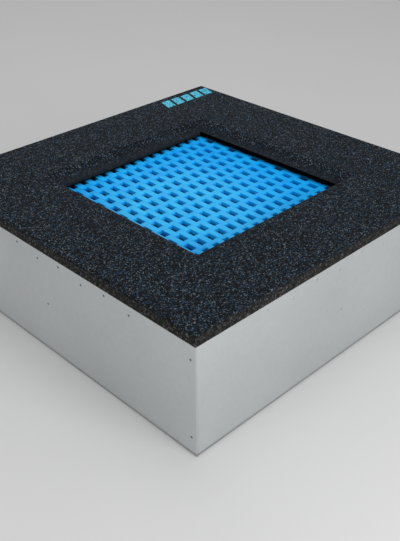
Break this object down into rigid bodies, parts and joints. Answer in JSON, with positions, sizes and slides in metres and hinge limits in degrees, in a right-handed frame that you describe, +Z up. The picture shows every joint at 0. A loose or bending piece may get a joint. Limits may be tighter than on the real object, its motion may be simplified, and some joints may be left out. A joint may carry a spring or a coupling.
{
  "type": "in-ground trampoline",
  "caption": "Square in-ground trampoline: sheet-metal box, rubber surround with a sloped opening, and a sprung mat of hinged plastic links on steel rods.",
  "frame": {"origin": "middle of the underside, on the ground that the box stands on", "axes": "+Z up out of the mat; +X along the mat's rods, to the right seen from the front; +Y to the back, across the rows of links"},
  "size_m": [1.2, 1.2, 0.393],
  "materials": {
    "panel_zinc": "galvanised sheet, satin",
    "frame_steel": "hot-dip galvanised",
    "spring_steel": "zinc plated wire",
    "mat_plastic": "moulded, fine grain",
    "rubber_wear": "bonded granules with light flecks",
    "rubber_base": "coarse bonded granules"
  },
  "bodies": {
    "frame": {"panel_front": "panel_zinc", "rail_front": "frame_steel", "deck_front": "frame_steel", "post_front": "frame_steel", "panel_right": "panel_zinc", "rail_right": "frame_steel", "deck_right": "frame_steel", "post_right": "frame_steel", "panel_back": "panel_zinc", "rail_back": "frame_steel", "deck_back": "frame_steel", "post_back": "frame_steel", "panel_left": "panel_zinc", "rail_left": "frame_steel", "deck_left": "frame_steel", "post_left": "frame_steel", "gusset_front_left": "frame_steel", "gusset_front_right": "frame_steel", "gusset_back_right": "frame_steel", "gusset_back_left": "frame_steel", "rubber_base": "rubber_base", "rubber_wear_layer": "rubber_wear"},
    "mat_middle": {"mat_middle_rod": "spring_steel"},
    "mat_row_front_1": {"mat_row_front_1": "mat_plastic"},
    "mat_row_front_2": {"mat_row_front_2": "mat_plastic"},
    "mat_row_front_3": {"mat_row_front_3": "mat_plastic"},
    "mat_row_front_4": {"mat_row_front_4": "mat_plastic"},
    "mat_row_front_5": {"mat_row_front_5": "mat_plastic"},
    "mat_row_front_6": {"mat_row_front_6": "mat_plastic"},
    "mat_row_back_1": {"mat_row_back_1": "mat_plastic"},
    "mat_row_back_2": {"mat_row_back_2": "mat_plastic"},
    "mat_row_back_3": {"mat_row_back_3": "mat_plastic"},
    "mat_row_back_4": {"mat_row_back_4": "mat_plastic"},
    "mat_row_back_5": {"mat_row_back_5": "mat_plastic"},
    "mat_row_back_6": {"mat_row_back_6": "mat_plastic"},
    "springs_front_rod_5": {"spring_left_1": "spring_steel", "spring_right_1": "spring_steel"},
    "springs_front_rod_3": {"spring_left_2": "spring_steel", "spring_right_2": "spring_steel"},
    "springs_front_rod_1": {"spring_left_3": "spring_steel", "spring_right_3": "spring_steel"},
    "springs_back_rod_1": {"spring_left_4": "spring_steel", "spring_right_4": "spring_steel"},
    "springs_back_rod_3": {"spring_left_5": "spring_steel", "spring_right_5": "spring_steel"},
    "springs_back_rod_5": {"spring_left_6": "spring_steel", "spring_right_6": "spring_steel"},
    "springs_front_edge": {"spring_front_1": "spring_steel", "spring_front_2": "spring_steel", "spring_front_3": "spring_steel", "spring_front_4": "spring_steel"},
    "springs_back_edge": {"spring_back_1": "spring_steel", "spring_back_2": "spring_steel", "spring_back_3": "spring_steel", "spring_back_4": "spring_steel"}
  },
  "joints": [
    {"name": "mat_press", "type": "slide", "parent": "frame", "child": "mat_middle", "axis": [0, 0, 1], "range_m": [-0.1, 0], "stiffness_N_per_m": 3500, "springref_m": 0.03},
    {"name": "row_front_1_hinge", "type": "hinge", "parent": "mat_middle", "child": "mat_row_front_1", "pos_m": [0, 0.005, 0.338], "axis": [1, 0, 0], "range_deg": [-2.99, 0]},
    {"name": "row_front_2_hinge", "type": "hinge", "parent": "mat_row_front_1", "child": "mat_row_front_2", "pos_m": [0, -0.05, 0.338], "axis": [1, 0, 0], "range_deg": [-5.98, 0]},
    {"name": "row_front_3_hinge", "type": "hinge", "parent": "mat_row_front_2", "child": "mat_row_front_3", "pos_m": [0, -0.105, 0.338], "axis": [1, 0, 0], "range_deg": [-5.98, 0]},
    {"name": "row_front_4_hinge", "type": "hinge", "parent": "mat_row_front_3", "child": "mat_row_front_4", "pos_m": [0, -0.16, 0.338], "axis": [1, 0, 0], "range_deg": [-5.98, 0]},
    {"name": "row_front_5_hinge", "type": "hinge", "parent": "mat_row_front_4", "child": "mat_row_front_5", "pos_m": [0, -0.215, 0.338], "axis": [1, 0, 0], "range_deg": [-5.98, 0]},
    {"name": "row_front_6_hinge", "type": "hinge", "parent": "mat_row_front_5", "child": "mat_row_front_6", "pos_m": [0, -0.27, 0.338], "axis": [1, 0, 0], "range_deg": [-5.98, 0]},
    {"name": "row_back_1_hinge", "type": "hinge", "parent": "mat_middle", "child": "mat_row_back_1", "pos_m": [0, 0.005, 0.338], "axis": [1, 0, 0], "range_deg": [0, 2.99]},
    {"name": "row_back_2_hinge", "type": "hinge", "parent": "mat_row_back_1", "child": "mat_row_back_2", "pos_m": [0, 0.06, 0.338], "axis": [1, 0, 0], "range_deg": [0, 5.98]},
    {"name": "row_back_3_hinge", "type": "hinge", "parent": "mat_row_back_2", "child": "mat_row_back_3", "pos_m": [0, 0.115, 0.338], "axis": [1, 0, 0], "range_deg": [0, 5.98]},
    {"name": "row_back_4_hinge", "type": "hinge", "parent": "mat_row_back_3", "child": "mat_row_back_4", "pos_m": [0, 0.17, 0.338], "axis": [1, 0, 0], "range_deg": [0, 5.98]},
    {"name": "row_back_5_hinge", "type": "hinge", "parent": "mat_row_back_4", "child": "mat_row_back_5", "pos_m": [0, 0.225, 0.338], "axis": [1, 0, 0], "range_deg": [0, 5.98]},
    {"name": "row_back_6_hinge", "type": "hinge", "parent": "mat_row_back_5", "child": "mat_row_back_6", "pos_m": [0, 0.28, 0.338], "axis": [1, 0, 0], "range_deg": [0, 5.98]},
    {"name": "springs_front_rod_5_stretch", "type": "slide", "parent": "frame", "child": "springs_front_rod_5", "axis": [0, -0.3777, 0.9259], "range_m": [-0.0323, 0], "deforming": ["spring_left_1", "spring_right_1"]},
    {"name": "springs_front_rod_3_stretch", "type": "slide", "parent": "frame", "child": "springs_front_rod_3", "axis": [0, -0.035, 0.9994], "range_m": [-0.0745, 0], "deforming": ["spring_left_2", "spring_right_2"]},
    {"name": "springs_front_rod_1_stretch", "type": "slide", "parent": "frame", "child": "springs_front_rod_1", "axis": [0, -0.0008, 1], "range_m": [-0.0972, 0], "deforming": ["spring_left_3", "spring_right_3"]},
    {"name": "springs_back_rod_1_stretch", "type": "slide", "parent": "frame", "child": "springs_back_rod_1", "axis": [0, 0.0008, 1], "range_m": [-0.0972, 0], "deforming": ["spring_left_4", "spring_right_4"]},
    {"name": "springs_back_rod_3_stretch", "type": "slide", "parent": "frame", "child": "springs_back_rod_3", "axis": [0, 0.035, 0.9994], "range_m": [-0.0745, 0], "deforming": ["spring_left_5", "spring_right_5"]},
    {"name": "springs_back_rod_5_stretch", "type": "slide", "parent": "frame", "child": "springs_back_rod_5", "axis": [0, 0.3777, 0.9259], "range_m": [-0.0323, 0], "deforming": ["spring_left_6", "spring_right_6"]},
    {"name": "springs_front_edge_stretch", "type": "slide", "parent": "frame", "child": "springs_front_edge", "axis": [0, -1, 0.0003], "range_m": [-0.0211, 0], "deforming": ["spring_front_1", "spring_front_2", "spring_front_3", "spring_front_4"]},
    {"name": "springs_back_edge_stretch", "type": "slide", "parent": "frame", "child": "springs_back_edge", "axis": [0, 1, 0.0003], "range_m": [-0.0211, 0], "deforming": ["spring_back_1", "spring_back_2", "spring_back_3", "spring_back_4"]}
  ],
  "couplings": [
    {"joint": "row_front_1_hinge", "follows": "mat_press", "rad_per_m": 0.5216},
    {"joint": "row_front_2_hinge", "follows": "mat_press", "rad_per_m": 1.0432},
    {"joint": "row_front_3_hinge", "follows": "mat_press", "rad_per_m": 1.0432},
    {"joint": "row_front_4_hinge", "follows": "mat_press", "rad_per_m": 1.0432},
    {"joint": "row_front_5_hinge", "follows": "mat_press", "rad_per_m": 1.0432},
    {"joint": "row_front_6_hinge", "follows": "mat_press", "rad_per_m": 1.0432},
    {"joint": "row_back_1_hinge", "follows": "mat_press", "rad_per_m": -0.5216},
    {"joint": "row_back_2_hinge", "follows": "mat_press", "rad_per_m": -1.0432},
    {"joint": "row_back_3_hinge", "follows": "mat_press", "rad_per_m": -1.0432},
    {"joint": "row_back_4_hinge", "follows": "mat_press", "rad_per_m": -1.0432},
    {"joint": "row_back_5_hinge", "follows": "mat_press", "rad_per_m": -1.0432},
    {"joint": "row_back_6_hinge", "follows": "mat_press", "rad_per_m": -1.0432},
    {"joint": "springs_front_rod_5_stretch", "follows": "mat_press", "ratio": 0.32249},
    {"joint": "springs_front_rod_3_stretch", "follows": "mat_press", "ratio": 0.74425},
    {"joint": "springs_front_rod_1_stretch", "follows": "mat_press", "ratio": 0.97132},
    {"joint": "springs_back_rod_1_stretch", "follows": "mat_press", "ratio": 0.97132},
    {"joint": "springs_back_rod_3_stretch", "follows": "mat_press", "ratio": 0.74425},
    {"joint": "springs_back_rod_5_stretch", "follows": "mat_press", "ratio": 0.32249},
    {"joint": "springs_front_edge_stretch", "follows": "mat_press", "ratio": 0.20989},
    {"joint": "springs_back_edge_stretch", "follows": "mat_press", "ratio": 0.20989}
  ]
}
